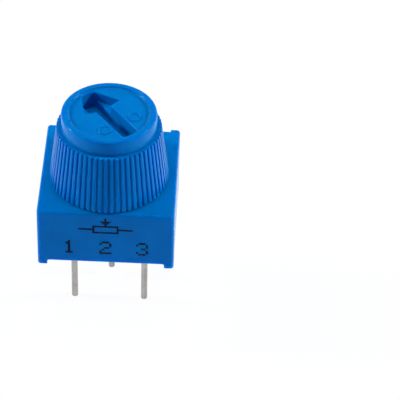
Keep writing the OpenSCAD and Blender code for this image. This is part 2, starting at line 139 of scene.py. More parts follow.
class Shape:
    """A mesh in the making, in millimetres, shaped with bmesh operators."""

    def __init__(self) -> None:
        """Starts with nothing in it."""
        self.mesh = bmesh.new()

    @classmethod
    def prism(cls, points: Iterable[Sequence[float]], move: Sequence[float]) -> "Shape":
        """Makes a closed prism from a flat outline.

        Args:
            points: The outline of one end.
            move: The way to the other end.

        Returns:
            The prism as a new shape.
        """
        shape = cls()
        end = shape.mesh.faces.new([shape.mesh.verts.new(point) for point in points])
        made = bmesh.ops.extrude_face_region(shape.mesh, geom=[end], use_keep_orig=True)["geom"]
        verts = [item for item in made if isinstance(item, BMVert)]
        bmesh.ops.translate(shape.mesh, verts=verts, vec=move)
        return shape

    def line(self, points: Iterable[Sequence[float]], closed: bool = False) -> list[BMEdge]:
        """Draws edges through points, and from the last to the first if it is closed."""
        verts = [self.mesh.verts.new(point) for point in points]
        return [self.mesh.edges.new(pair) for pair in zip(verts, verts[1:] + verts[:int(closed)])]

    def rise(self, edges: Iterable[BMEdge], z: float) -> list[BMEdge]:
        """Extrudes level edges straight to another height.

        Args:
            edges: The edges to start from.
            z: The height of the new edges.

        Returns:
            The new edges.
        """
        made = bmesh.ops.extrude_edge_only(self.mesh, edges=list(edges))["geom"]
        verts = {item for item in made if isinstance(item, BMVert)}
        for vert in verts:
            vert.co.z = z
        return [item for item in made
                if isinstance(item, BMEdge) and verts.issuperset(item.verts)]

    def fill(self, *loops: Iterable[BMEdge]) -> None:
        """Fills the flat area between an outer loop and the loops inside it."""
        edges = list(dict.fromkeys(edge for loop in loops for edge in loop))
        bmesh.ops.triangle_fill(self.mesh, use_beauty=True, use_dissolve=False, edges=edges)

    def cap(self, loop: Iterable[BMEdge]) -> None:
        """Closes one loop with a single face."""
        bmesh.ops.edgeloop_fill(self.mesh, edges=list(loop))

    def spin(self, edges: Sequence[BMEdge], angle: float, steps: int, merge: bool = False,
             centre: Sequence[float] = (0, 0, 0), copies: bool = False) -> list[BMEdge]:
        """Revolves edges about an upright axis.

        Args:
            edges: The edges to start from.
            angle: The turn in radians.
            steps: Steps in the turn.
            merge: Whether the end meets the start.
            centre: A point on the axis.
            copies: Whether it makes loose copies and no faces.

        Returns:
            The edges at the turn's end.
        """
        verts = dict.fromkeys(vert for edge in edges for vert in edge.verts)
        last = bmesh.ops.spin(self.mesh, geom=[*verts, *edges], cent=centre, axis=(0, 0, 1),
                              dvec=(0, 0, 0), angle=angle, steps=steps, use_merge=merge,
                              use_normal_flip=False, use_duplicate=copies)["geom_last"]
        return [item for item in last if isinstance(item, BMEdge)]

    def revolve(self, profile: Profile, segments: int,
                centre: Sequence[float] = (0, 0, 0)) -> None:
        """Revolves a profile of (radius, height) into a full ring about a centre."""
        edges = self.line([(centre[0] + r, centre[1], centre[2] + z) for r, z in profile])
        self.spin(edges, 2 * math.pi, segments, merge=True, centre=centre)

    def bevel(self, edges: Iterable[BMEdge], offset: float, segments: int) -> None:
        """Rounds edges off."""
        bmesh.ops.bevel(self.mesh, geom=list(edges), offset=offset, offset_type="OFFSET",
                        segments=segments, profile=0.5, affect="EDGES", clamp_overlap=True,
                        material=-1)

    def edges(self, wanted: Callable[[BMEdge], bool]) -> list[BMEdge]:
        """Gives the edges that a test picks."""
        self.mesh.normal_update()
        return [edge for edge in self.mesh.edges if wanted(edge)]

    def rim_at(self, z: float, r0: float = 0.0, r1: float = math.inf) -> list[BMEdge]:
        """Gives the open edges at a height, whose middles lie r0 to r1 from the Z axis."""
        def wanted(edge: BMEdge) -> bool:
            """Tests one edge."""
            middle = (edge.verts[0].co + edge.verts[1].co) / 2
            return (len(edge.link_faces) < 2 and r0 <= middle.xy.length <= r1
                    and all(abs(vert.co.z - z) < MERGE for vert in edge.verts))
        return self.edges(wanted)

    def weld(self) -> None:
        """Merges the vertices that meet."""
        bmesh.ops.remove_doubles(self.mesh, verts=self.mesh.verts, dist=MERGE)

    def place(self, matrix: Matrix) -> None:
        """Moves all of it."""
        bmesh.ops.transform(self.mesh, matrix=matrix, verts=self.mesh.verts)

    def to_object(self, name: str) -> Object:
        """Turns the shape, as it is, into an object and frees it.

        Args:
            name: The object's name.

        Returns:
            The object.
        """
        mesh = bpy.data.meshes.new(name)
        self.mesh.to_mesh(mesh)
        self.mesh.free()
        made = bpy.data.objects.new(name, mesh)
        bpy.context.scene.collection.objects.link(made)
        return made

    def carve(self, *cutters: "Shape") -> "Shape":
        """Cuts other closed shapes out of this one.

        Args:
            cutters: The shapes to take away. They are used up.

        Returns:
            What is left, as a new shape.
        """
        self.outwards()
        block = self.to_object("block")
        tools = []
        for cutter in cutters:
            cutter.outwards()
            tool = cutter.to_object("cutter")
            tools.append(tool)
            cut = block.modifiers.new("cut", "BOOLEAN")
            cut.operation = "DIFFERENCE"
            cut.solver = "EXACT"
            cut.object = tool
        left = Shape()
        left.mesh.from_object(block, bpy.context.evaluated_depsgraph_get())
        for made in [block, *tools]:
            bpy.data.objects.remove(made)
        return left

    def outwards(self) -> None:
        """Merges the vertices that meet, joins flat faces and turns them all outwards."""
        self.weld()
        bmesh.ops.dissolve_limit(self.mesh, angle_limit=math.radians(FLAT_ANGLE), verts=[],
                                 edges=self.mesh.edges)
        bmesh.ops.recalc_face_normals(self.mesh, faces=self.mesh.faces)

    def finish(self, name: str, body: Body, slot: Slot, material: Material,
               *stands_for: str) -> Object:
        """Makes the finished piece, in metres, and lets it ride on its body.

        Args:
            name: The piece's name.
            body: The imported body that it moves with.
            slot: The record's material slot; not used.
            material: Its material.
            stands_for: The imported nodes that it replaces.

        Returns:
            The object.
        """
        self.outwards()
        self.place(Matrix.Scale(MM, 4))
        made = self.to_object(name)
        made.data.shade_smooth()
        made.data.set_sharp_from_angle(angle=math.radians(SHARP_ANGLE))
        made.data.materials.append(material)
        normals = made.modifiers.new("normals", "WEIGHTED_NORMAL")
        normals.keep_sharp = True
        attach(made, body.value)
        if stands_for:
            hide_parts(*stands_for)
        LOG.info("%s: %d faces, on %s", name, len(made.data.polygons), body.value)
        return made


# ---------- node building ----------


class Graph:
    """Adds and joins the nodes of one tree."""

    def __init__(self, tree: NodeTree) -> None:
        """Takes the tree over."""
        self.tree = tree

    def feed(self, node: Node, values: dict) -> None:
        """Sets a node's inputs, or links them to other nodes' outputs.

        Args:
            node: The node.
            values: Numbers, colours or outputs, by the input's name or number.
        """
        for key, value in values.items():
            if isinstance(value, NodeSocket):
                self.tree.links.new(value, node.inputs[key])
            else:
                node.inputs[key].default_value = value

    def add(self, kind: str, values: dict | None = None, **settings: object) -> Node:
        """Adds a node.

        Args:
            kind: The node's type.
            values: What its inputs take.
            settings: The node's own settings.

        Returns:
            The node.
        """
        node = self.tree.nodes.new(kind)
        for key, value in settings.items():
            setattr(node, key, value)
        self.feed(node, values or {})
        return node

    def out(self, kind: str, values: dict, **settings: object) -> NodeSocket:
        """Adds a node and gives its first output."""
        return self.add(kind, values, **settings).outputs[0]

    def noise(self, vector: NodeSocket, scale: object, detail: float,
              rough: float = 0.5) -> NodeSocket:
        """Adds a noise texture and gives its grey output."""
        return self.out("ShaderNodeTexNoise", {"Vector": vector, "Scale": scale,
                                               "Detail": detail, "Roughness": rough})

    def span(self, value: NodeSocket, low: float, high: float, to_low: float,
             to_high: float) -> NodeSocket:
        """Maps a value from one span to another, clamped at both ends."""
        return self.out("ShaderNodeMapRange", {"Value": value, "From Min": low, "From Max": high,
                                               "To Min": to_low, "To Max": to_high})

    def maths(self, operation: str, *values: object) -> NodeSocket:
        """Works out one sum."""
        return self.out("ShaderNodeMath", dict(enumerate(values)), operation=operation)

    def mix(self, factor: NodeSocket, first: Colour, second: Colour) -> NodeSocket:
        """Mixes two plain colours."""
        return self.add("ShaderNodeMix", {0: factor, 6: (*first, 1.0), 7: (*second, 1.0)},
                        data_type="RGBA").outputs[2]

    def shine(self, kind: str, colour: Colour, strength: float) -> NodeSocket:
        """Adds a shader that gives light of its own."""
        return self.out(kind, {"Color": (*colour, 1.0), "Strength": strength})


class Pattern:
    """A node group that turns a place on the surface into a tone, a gloss and a height."""

    def __init__(self, name: str, numbers: dict[str, float]) -> None:
        """Starts the group.

        Args:
            name: Its name.
            numbers: The numbers that it takes, with their first values.
        """
        self.tree = bpy.data.node_groups.new(name, "ShaderNodeTree")
        add_socket = self.tree.interface.new_socket
        add_socket(name="Place", in_out="INPUT", socket_type="NodeSocketVector")
        for key, value in numbers.items():
            add_socket(name=key, in_out="INPUT",
                       socket_type="NodeSocketFloat").default_value = value
        for key in ("Tone", "Rough", "Height"):
            add_socket(name=key, in_out="OUTPUT", socket_type="NodeSocketFloat")
        self.graph = Graph(self.tree)
        self.given = self.graph.add("NodeGroupInput").outputs
        self.place = self.graph.out("ShaderNodeVectorMath",
                                    {0: self.given["Place"], "Scale": 1 / MM}, operation="SCALE")

    def close(self, tone: NodeSocket, rough: NodeSocket, height: NodeSocket) -> NodeTree:
        """Joins the results to the group's outputs and gives its tree."""
        self.graph.add("NodeGroupOutput", {"Tone": tone, "Rough": rough, "Height": height})
        return self.tree


@dataclass(frozen=True)
class MouldedSkin:
    """The skin of moulded plastic: a fine grain, faint flow marks and specks."""

    grain: float = 9.0
    grain_detail: float = 3.0
    grain_rough: float = 0.65
    grain_tone: float = 0.45
    flow: float = 0.5
    flow_scale: float = 0.55
    flow_detail: float = 1.5
    flow_gloss: float = 0.4
    specks: float = 0.5
    speck_scale: float = 2.6
    speck_edge: tuple[float, float] = (0.05, 0.11)
    speck_tone: float = 0.35
    speck_depth: float = 0.8
    middle: float = 0.5

    def build(self) -> NodeTree:
        """Builds the node group.

        Returns:
            Its tree.
        """
        group = Pattern("moulded_skin", {"Grain": self.grain, "Flow": self.flow,
                                         "Specks": self.specks})
        given, place, maths = group.given, group.place, group.graph.maths
        grain = group.graph.noise(place, given["Grain"], self.grain_detail, self.grain_rough)
        flow = group.graph.noise(place, self.flow_scale, self.flow_detail)
        cells = group.graph.out("ShaderNodeTexVoronoi",
                                {"Vector": place, "Scale": self.speck_scale}, feature="F1")
        speck = maths("MULTIPLY", group.graph.span(cells, *self.speck_edge, 1.0, 0.0),
                      given["Specks"])
        wave = maths("MULTIPLY", maths("SUBTRACT", flow, self.middle), given["Flow"])
        fleck = maths("MULTIPLY", maths("SUBTRACT", grain, self.middle), self.grain_tone)
        tone = maths("ADD", maths("ADD", wave, fleck), self.middle)
        tone = maths("ADD", tone, maths("MULTIPLY", speck, self.speck_tone))
        rough = maths("ADD", maths("MULTIPLY", wave, self.flow_gloss), grain)
        height = maths("SUBTRACT", grain, maths("MULTIPLY", speck, self.speck_depth))
        return group.close(tone, rough, height)


@dataclass(frozen=True)
class DrawnLines:
    """The fine lines that drawing or rolling leaves along a metal piece."""

    across: float = 14.0
    along: float = 0.6
    line_detail: float = 3.0
    line_rough: float = 0.6
    line_tone: float = 0.65
    blotch_scale: float = 1.7
    blotch_detail: float = 2.0
    blotch_tone: float = 0.35

    def build(self) -> NodeTree:
        """Builds the node group.

        Returns:
            Its tree.
        """
        group = Pattern("drawn_lines", {"Across": self.across, "Along": self.along})
        given, graph, maths = group.given, group.graph, group.graph.maths
        split = graph.add("ShaderNodeSeparateXYZ", {0: group.place}).outputs
        shares = (given["Across"], given["Across"], given["Along"])
        stretched = graph.out("ShaderNodeCombineXYZ", {
            axis: maths("MULTIPLY", split[axis], share) for axis, share in enumerate(shares)})
        lines = graph.noise(stretched, 1.0, self.line_detail, self.line_rough)
        blotch = graph.noise(group.place, self.blotch_scale, self.blotch_detail)
        tone = maths("ADD", maths("MULTIPLY", lines, self.line_tone),
                     maths("MULTIPLY", blotch, self.blotch_tone))
        return group.close(tone, lines, lines)


class Canvas:
    """A material in the making, led by a pattern."""

    def __init__(self, name: str, pattern: NodeTree, numbers: dict[str, float]) -> None:
        """Starts the material.

        Args:
            name: Its name.
            pattern: The node group of its pattern.
            numbers: The group's numbers.
        """
        self.material = bpy.data.materials.new(name)
        self.material.use_nodes = True
        self.graph = Graph(self.material.node_tree)
        place = self.graph.add("ShaderNodeTexCoord").outputs["Object"]
        self.pattern = self.graph.add("ShaderNodeGroup", {"Place": place, **numbers},
                                      node_tree=pattern).outputs

    def tones(self, colour: Colour, contrast: float) -> NodeSocket:
        """Gives the colour, made darker and lighter by the pattern."""
        dark, pale = (tuple(min(1.0, channel * factor) for channel in colour)
                      for factor in (1 - contrast, 1 + contrast))
        return self.graph.mix(self.pattern["Tone"], dark, pale)

    def gloss(self, low: float, high: float) -> NodeSocket:
        """Gives the roughness, spread between two values by the pattern."""
        return self.graph.span(self.pattern["Rough"], *PATTERN_SPREAD, low, high)

    def shade(self, relief: float, values: dict) -> Material:
        """Hands the shader its values.

        Args:
            relief: Depth of the pattern's relief, in millimetres.
            values: The shader's inputs.

        Returns:
            The material.
        """
        bump = self.graph.out("ShaderNodeBump", {"Height": self.pattern["Height"],
                                                 "Strength": 1.0, "Distance": relief * MM})
        shader = self.material.node_tree.nodes["Principled BSDF"]
        self.graph.feed(shader, {**values, "Normal": bump})
        return self.material


@dataclass(frozen=True)
class MouldedPlastic:
    """A moulded plastic with a fine skin."""

    name: str
    colour: Colour
    roughness: float = 0.17
    specular: float = 0.11
    uneven: float = 0.06
    sheen: Colour = (1.0, 1.0, 1.0)
    glow: float = 0.0
    glow_reach: Colour = (0.1, 0.3, 1.0)
    contrast: float = 0.22
    grain: float = 9.0
    flow: float = 0.6
    specks: float = 0.5
    relief: float = 0.006

    def build(self, pattern: NodeTree) -> Material:
        """Builds the material over its pattern."""
        canvas = Canvas(self.name, pattern, {"Grain": self.grain, "Flow": self.flow,
                                             "Specks": self.specks})
        return canvas.shade(self.relief, {
            "Base Color": canvas.tones(self.colour, self.contrast),
            "Roughness": canvas.gloss(self.roughness - self.uneven, self.roughness + self.uneven),
            "Specular IOR Level": self.specular, "Specular Tint": (*self.sheen, 1.0),
            "Subsurface Weight": self.glow, "Subsurface Radius": self.glow_reach,
            "Subsurface Scale": MM})


@dataclass(frozen=True)
class BareMetal:
    """A metal with the lines that drawing or rolling left on it."""

    name: str
    colour: Colour
    roughness: float = 0.3
    contrast: float = 0.18
    across: float = 14.0
    along: float = 0.6
    relief: float = 0.004
    metallic: float = 1.0
    smoother: float = 0.08
    rougher: float = 0.1

    def build(self, pattern: NodeTree) -> Material:
        """Builds the material over its pattern."""
        canvas = Canvas(self.name, pattern, {"Across": self.across, "Along": self.along})
        return canvas.shade(self.relief, {
            "Base Color": canvas.tones(self.colour, self.contrast), "Metallic": self.metallic,
            "Roughness": canvas.gloss(self.roughness - self.smoother,
                                      self.roughness + self.rougher)})


@dataclass(frozen=True)
class PrintInk:
    """Print on the wall, thin enough in places for the plastic to show through."""

    name: str
    colour: Colour
    under: Colour
    wear: float = 0.35
    worn_from: tuple[float, float] = (0.5, 0.72)
    roughness: float = 0.6
    specular: float = 0.08
    grain: float = 5.0
    relief: float = 0.004

    def build(self, pattern: NodeTree) -> Material:
        """Builds the material.

        Args:
            pattern: The plastic's pattern.

        Returns:
            The material.
        """
        canvas = Canvas(self.name, pattern, {"Grain": self.grain})
        thin = canvas.graph.span(canvas.pattern["Tone"], *self.worn_from, 0.0, self.wear)
        return canvas.shade(self.relief, {
            "Base Color": canvas.graph.mix(thin, self.colour, self.under),
            "Roughness": self.roughness, "Specular IOR Level": self.specular})


class Finishes:
    """Every material of the part, built once over the two patterns."""

    case_blue: Colour = (0.0, 0.175, 0.48)
    knob_blue: Colour = (0.0, 0.168, 0.465)
    sheen: Colour = (0.04, 0.75, 1.0)
    glow: float = 0.5

    def __init__(self) -> None:
        """Builds the materials."""
        blue = {"sheen": self.sheen, "glow": self.glow}
        plastics = {
            Slot.CASE: MouldedPlastic("case_blue", self.case_blue, **blue),
            Slot.KNOB: MouldedPlastic("knob_blue", self.knob_blue, flow=0.5, specks=0.7, **blue),
            Slot.ROTOR: MouldedPlastic("rotor_cream", (0.72, 0.68, 0.58), specular=0.4),
            Slot.RUBBER: MouldedPlastic("seal_black", (0.015, 0.015, 0.017), 0.6, 0.3),
            Slot.CERAMIC: MouldedPlastic("alumina", (0.78, 0.76, 0.7), 0.55, 0.4, contrast=0.06),
            Slot.CERMET: MouldedPlastic("cermet_film", (0.02, 0.02, 0.022), 0.5, 0.4, grain=14.0),
            Slot.EPOXY: MouldedPlastic("potting_resin", (0.012, 0.035, 0.1), 0.18, 0.5,
                                       contrast=0.3, grain=2.5, relief=0.02),
        }
        metals = {
            Slot.WIRE: BareMetal("tinned_wire", (0.38, 0.37, 0.355), 0.24, 0.85, 5.0, 0.12),
            Slot.SILVER: BareMetal("silver_film", (0.7, 0.69, 0.66), 0.5, metallic=0.9),
            Slot.ALLOY: BareMetal("spring_alloy", (0.78, 0.56, 0.28), 0.28),
            Slot.SOLDER: BareMetal("bright_solder", (0.62, 0.62, 0.62), 0.22, across=3.0,
                                   along=3.0, relief=0.01),
        }
        skin, lines = MouldedSkin().build(), DrawnLines().build()
        self.of_slot = {slot: finish.build(skin) for slot, finish in plastics.items()}
        self.of_slot.update((slot, finish.build(lines)) for slot, finish in metals.items())
        self.ink = PrintInk("print_ink", (0.001, 0.005, 0.014), self.case_blue).build(skin)


# ---------- the part's pieces ----------


@dataclass
class Housing:
    """The square moulding with its feet, rear strips and the room for what it holds."""

    finishes: Finishes
    foot_w: float = 0.67
    foot_l: float = 1.2
    foot_h: float = 0.38
    foot_fillet: float = 0.15
    strip_d: float = 0.34
    corner_r: float = 0.25
    edge_r: float = 0.18
    edge_steps: int = 6
    side_wall: float = 0.66
    rear_wall: float = 0.7
    recess_r: float = 0.5
    plate_t: float = 0.8
    cavity_r: float = 3.59
    bore_r: float = 1.54
    drum_steps: int = 128
    stop_r: float = 2.45
    stop_reach: float = 11.9
    stop_rise: float = 0.03
    stop_steps: int = 8
    beyond: float = 1.0

    def build(self) -> Object:
        """Builds the moulding.

        Returns:
            The object.
        """
        self.low, self.high = corners("housing")
        self.inner_x = self.high.x - self.foot_w
        shape = self.block().carve(*self.reliefs(), *self.rooms())
        return shape.finish("housing_moulding", Body.CASE, Slot.CASE,
                            self.finishes.of_slot[Slot.CASE], "housing")

    def block(self) -> Shape:
        """Makes the block with its strips, round corners and round top edges.

        Returns:
            The block as a solid shape.
        """
        low, high, inner = self.low, self.high, self.inner_x
        wall = high.y - self.strip_d
        plan = [(low.x, low.y), (high.x, low.y), (high.x, high.y), (inner, high.y),
                (inner, wall), (-inner, wall), (-inner, high.y), (low.x, high.y)]
        shape = Shape.prism([(x, y, low.z) for x, y in plan], (0, 0, high.z - low.z))
        sides = shape.edges(lambda edge: upright(edge)
                            and abs(abs(edge.verts[0].co.x) - high.x) < MERGE)
        shape.bevel(sides, self.corner_r, self.edge_steps)
        shape.bevel(shape.edges(self.top_edge), self.edge_r, self.edge_steps)
        return shape

    def top_edge(self, edge: BMEdge) -> bool:
        """Tells whether an edge is one of the top's round ones: not a strip's inner side."""
        points = [vert.co for vert in edge.verts]
        return (min(point.z for point in points) > self.high.z - MERGE
                and any(abs(abs(point.x) - self.inner_x) >= MERGE for point in points))

    def reliefs(self) -> list[Shape]:
        """Makes what is cut away under the body between the feet, with the feet's fillets.

        Returns:
            One shape that runs from front to rear and one from side to side.
        """
        low, high, out = self.low, self.high, self.beyond
        fillet = self.foot_fillet
        front = round_rect(-self.inner_x, -out, self.inner_x, self.foot_h, fillet)
        side = round_rect(low.y + self.foot_l, -out, high.y - self.foot_l, self.foot_h, fillet)
        return [Shape.prism([(x, low.y - out, z) for x, z in front],
                            (0, high.y - low.y + 2 * out, 0)),
                Shape.prism([(low.x - out, y, z) for y, z in side],
                            (high.x - low.x + 2 * out, 0, 0))]

    def rooms(self) -> list[Shape]:
        """Makes the element's recess, the rotor's cavity and the shaft's bore.

        Returns:
            The three as solid shapes.
        """
        axis, out = knob_axis(), self.beyond
        ceiling = self.high.z - self.plate_t
        floor = corners("substrate")[1].z
        reach = self.high.x - self.side_wall
        rear = self.high.y - self.strip_d - self.rear_wall
        outline = round_rect(-reach, axis.y - self.cavity_r, reach, rear, self.recess_r)
        recess = Shape.prism([(x, y, -out) for x, y in outline], (0, 0, floor + out))
        bore = self.drum(axis, self.bore_r, ceiling - out, self.high.z + out)
        return [recess, self.cavity(axis, floor - out, ceiling), bore]

    def cavity(self, axis: Vector, low: float, high: float) -> Shape:
        """Makes the rotor's cavity, round the fixed stop that hangs from the top plate.

        Args:
            axis: A point on the knob's axis.
            low: Height of the cavity's lower end.
            high: Height of its ceiling.

        Returns:
            The cavity as a solid shape.
        """
        first, last = 270 - self.stop_reach, 270 + self.stop_reach
        outline = (arc(axis.xy, self.cavity_r + self.beyond, first, last, self.stop_steps)
                   + arc(axis.xy, self.stop_r, last, first, self.stop_steps))
        foot = corners("o_ring")[0].z + self.stop_rise
        stop = Shape.prism([(x, y, foot) for x, y in outline], (0, 0, high + self.beyond - foot))
        return self.drum(axis, self.cavity_r, low, high).carve(stop)

    def drum(self, axis: Vector, radius: float, low: float, high: float) -> Shape:
        """Makes a round bar about the knob's axis, between two heights.

        Args:
            axis: The axis's point on the board.
            radius: The bar's radius.
            low: Height of its lower end.
            high: Height of its upper end.

        Returns:
            The bar as a solid shape.
        """
        shape = Shape()
        middle = axis + Vector((0, 0, (low + high) / 2))
        bmesh.ops.create_cone(shape.mesh, cap_ends=True, segments=self.drum_steps, radius1=radius,
                              radius2=radius, depth=high - low,
                              matrix=Matrix.Translation(middle))
        return shape


@dataclass
class Knob:
    """The ribbed knob with its collar, sunken face and arrow slot."""

    finishes: Finishes
    foot_r: float = 4.19
    shoulder_r: float = 3.64
    collar_r: float = 3.31
    rim_r: float = 3.3
    collar_h: float = 1.25
    rim_edge_r: float = 0.17
    rim_steps: int = 5
    face_r: float = 2.84
    face_sink: float = 0.2
    face_lean: float = 0.19
    lip_r: float = 0.08
    lip_turn: float = 80.0
    lip_steps: int = 4
    end_steps: int = 12
    side_steps: int = 76
    rib_count: int = 62
    flute_r: float = 0.068
    flute_depth: float = 0.145
    flute_steps: int = 6
    crest_r: float = 0.05
    crest_angle: float = 45.0
    slot_w: float = 1.17
    head_w: float = 2.95
    head_back: float = 0.88
    barb_lean: float = 0.15
    head_tip: float = 3.55
    slot_depth: float = 1.3
    barb_depth: float = 0.7
    slot_edge_r: float = 0.07
    neck_reach: float = 2.2
    bevel_steps: int = 3
    ring_r: float = 0.46
    ring_back: float = 1.28
    ring_side: float = 1.23
    ring_w: float = 0.12
    ring_t: float = 0.065
    ring_edge_r: float = 0.055
    ring_steps: int = 48
    least_area: float = 1.0
    skirt_t: float = 0.62
    floor_t: float = 0.6
    hub_r: float = 2.2
    socket_r: float = 1.5
    socket_flat: float = 0.4
    socket_l: float = 3.0
    socket_steps: int = 48
    skirt_steps: int = 96

    def build(self) -> Object:
        """Builds the knob.

        Returns:
            The object.
        """
        low, high = corners("knob")
        self.foot_z, self.top_z = low.z, high.z
        self.shoulder_z = self.top_z - self.collar_h
        self.face_z = self.top_z - self.face_sink
        self.slot_z = self.face_z - self.slot_depth
        self.floor_r = self.face_r - self.face_lean
        slope = self.head_w / 2 / (self.head_tip - self.head_back)
        reach = self.head_tip * slope / math.hypot(1, slope)
        self.head_clip = math.asin(reach / self.floor_r) - math.atan(slope)
        self.tail_clip = math.asin(self.slot_w / 2 / self.floor_r)
        self.shape = Shape()
        self.ribs()
        self.crown()
        self.arrow()
        self.underside()
        self.shape.place(Matrix.Translation(knob_axis()) @ Matrix.Rotation(rest_turn(), 4, "Z"))
        return self.shape.finish("knob_moulding", Body.SPINDLE, Slot.KNOB,
                                 self.finishes.of_slot[Slot.KNOB], "knob")

    def rib_ring(self, radius: float, z: float) -> list[BMEdge]:
        """Draws the ribs' outline at one height.

        Args:
            radius: Radius over the ribs.
            z: The height.

        Returns:
            The outline's edges.
        """
        mouth = math.sqrt(radius ** 2 - self.flute_r ** 2)
        bottom = arc((0.0, radius - self.flute_depth + self.flute_r), self.flute_r, 180, 360,
                     self.flute_steps)
        flute = [(-self.flute_r, mouth), *bottom, (self.flute_r, mouth)]
        pitch = 2 * math.pi / self.rib_count
        ahead = Matrix.Rotation(pitch, 2) @ Vector(flute[-1])
        points = [(x, y, z) for x, y in reversed(flute)]
        points.append((ahead.x, ahead.y, z))
        edges = self.shape.line(points)
        others = self.rib_count - 1
        self.shape.spin(edges, pitch * others, others, copies=True)
        self.shape.weld()
        return self.shape.rim_at(z)

    def ribs(self) -> None:
        """Makes the skirt's ribs, with round crests."""
        foot = self.rib_ring(self.foot_r, self.foot_z)
        shoulder = self.rib_ring(self.shoulder_r, self.shoulder_z)
        bmesh.ops.bridge_loops(self.shape.mesh, edges=foot + shoulder)
        crests = self.shape.edges(lambda edge: len(edge.link_faces) == 2
                                  and edge.calc_face_angle() > math.radians(self.crest_angle))
        self.shape.bevel(crests, self.crest_r, self.bevel_steps)

    def crown(self) -> None:
        """Makes the collar, the rim and the wall round the sunken face.

        The turn is made in four stretches, so that vertices lie where the arrow's ends meet
        the face's edge.
        """
        edge = (self.rim_r - self.rim_edge_r, self.top_z - self.rim_edge_r)
        lip = (self.face_r + self.lip_r, self.top_z - self.lip_r)
        profile = [(self.collar_r, self.shoulder_z),
                   *arc(edge, self.rim_edge_r, 0, 90, self.rim_steps),
                   *arc(lip, self.lip_r, 90, 90 + self.lip_turn, self.lip_steps),
                   (self.floor_r, self.face_z)]
        start = math.pi / 2 - self.head_clip
        front = [(r * math.cos(start), r * math.sin(start), z) for r, z in profile]
        lines = self.shape.line(front)
        side = math.pi - self.head_clip - self.tail_clip
        for clip in (self.head_clip, self.tail_clip):
            lines = self.shape.spin(lines, 2 * clip, self.end_steps)
            lines = self.shape.spin(lines, side, self.side_steps)
        self.shape.weld()
        self.shape.fill(self.shape.rim_at(self.shoulder_z))

    def arrow(self) -> None:
        """Makes the sunken face, the arrow slot and the two moulding rings.

        The shaft's width runs right across and deeper than the two barbs.
        """
        rim = self.shape.rim_at(self.face_z)
        outline = [line for side in (-1, 1) for line in self.arrow_side(rim, side)]
        clips = [edge for edge in rim if len(edge.link_faces) == 1]
        barb_z = self.face_z - self.barb_depth
        loop = self.shape.rise([*outline, *clips], barb_z)
        steps = [self.barb_floor(loop, side) for side in (-1, 1)]
        self.shape.cap(self.shape.rise(self.shape.rim_at(barb_z), self.slot_z))
        walls = self.shape.edges(self.slot_corner)
        self.shape.bevel([*outline, *walls, *steps], self.slot_edge_r, self.bevel_steps)
        self.moulding_rings()

    def arrow_side(self, rim: Iterable[BMEdge], side: int) -> list[BMEdge]:
        """Draws one side of the arrow and fills the sunken face beside it.

        Args:
            rim: The edges round the sunken face.
            side: 1 for the arrow's right side, -1 for its left.

        Returns:
            The side's edges.
        """
        half, barb = self.slot_w / 2, self.head_w / 2
        crossing = self.head_tip - half * (self.head_tip - self.head_back) / barb
        corners = [(half, self.head_back - self.barb_lean), (barb, self.head_back),
                   (half, crossing)]
        verts = [self.shape.mesh.verts.new((side * x, y, self.face_z)) for x, y in corners]
        near = [edge for edge in rim if self.beside_arrow(edge, side)]
        ends = sorted(self.open_ends(near), key=lambda vert: vert.co.y)
        path = [ends[0], *verts, ends[1]]
        drawn = [self.shape.mesh.edges.new(pair) for pair in zip(path, path[1:])]
        self.shape.cap([*near, *drawn])
        return drawn

    def barb_floor(self, loop: Iterable[BMEdge], side: int) -> BMEdge:
        """Closes the floor of one barb.

        Args:
            loop: The arrow's outline at the barbs' depth.
            side: 1 for the right barb, -1 for the left.

        Returns:
            The edge between the barb's floor and the deeper shaft.
        """
        half = side * self.slot_w / 2
        outer = [edge for edge in loop
                 if max(vert.co.x / half for vert in edge.verts) > 1 + MERGE
                 and min(vert.co.x / half for vert in edge.verts) > 1 - MERGE]
        step = self.shape.mesh.edges.new(self.open_ends(outer))
        self.shape.cap([*outer, step])
        return step

    def beside_arrow(self, edge: BMEdge, side: int) -> bool:
        """Tells whether an edge of the face's rim lies beside the arrow, on the given side."""
        middle = (edge.verts[0].co + edge.verts[1].co) / 2
        return (middle.x * side > 0 and self.head_clip < abs(math.atan2(middle.x, middle.y))
                < math.pi - self.tail_clip)

    @staticmethod
    def open_ends(edges: Iterable[BMEdge]) -> list[BMVert]:
        """Gives the two end vertices of a line of edges."""
        verts = [vert for edge in edges for vert in edge.verts]
        return [vert for vert in verts if verts.count(vert) == 1]

    def slot_corner(self, edge: BMEdge) -> bool:
        """Tells whether an edge is one of the slot's upright corners at the neck or a barb."""
        first, second = (vert.co for vert in edge.verts)
        return (upright(edge) and first.xy.length < self.neck_reach
                and max(first.z, second.z) < self.face_z + MERGE
                and abs(first.z - second.z) > self.barb_depth / 2)

    def moulding_rings(self) -> None:
        """Raises a ring on the face on each side of the arrow's shaft."""
        self.shape.mesh.normal_update()
        faces = [face for face in self.shape.mesh.faces
                 if all(abs(vert.co.z - self.face_z) < MERGE for vert in face.verts)
                 and face.calc_area() > self.least_area]
        for face in faces:
            side = math.copysign(1, face.calc_center_median().x)
            outline = list(face.edges)
            bmesh.ops.delete(self.shape.mesh, geom=[face], context="FACES_ONLY")
            centre = Vector((side * self.ring_side, -self.ring_back, self.face_z))
            self.shape.revolve(self.ring_section(), self.ring_steps, centre)
            outer, inner = (self.level_circle(centre, radius)
                            for radius in (self.ring_r, self.ring_r - self.ring_w))
            self.shape.fill(outline, outer)
            self.shape.fill(inner)

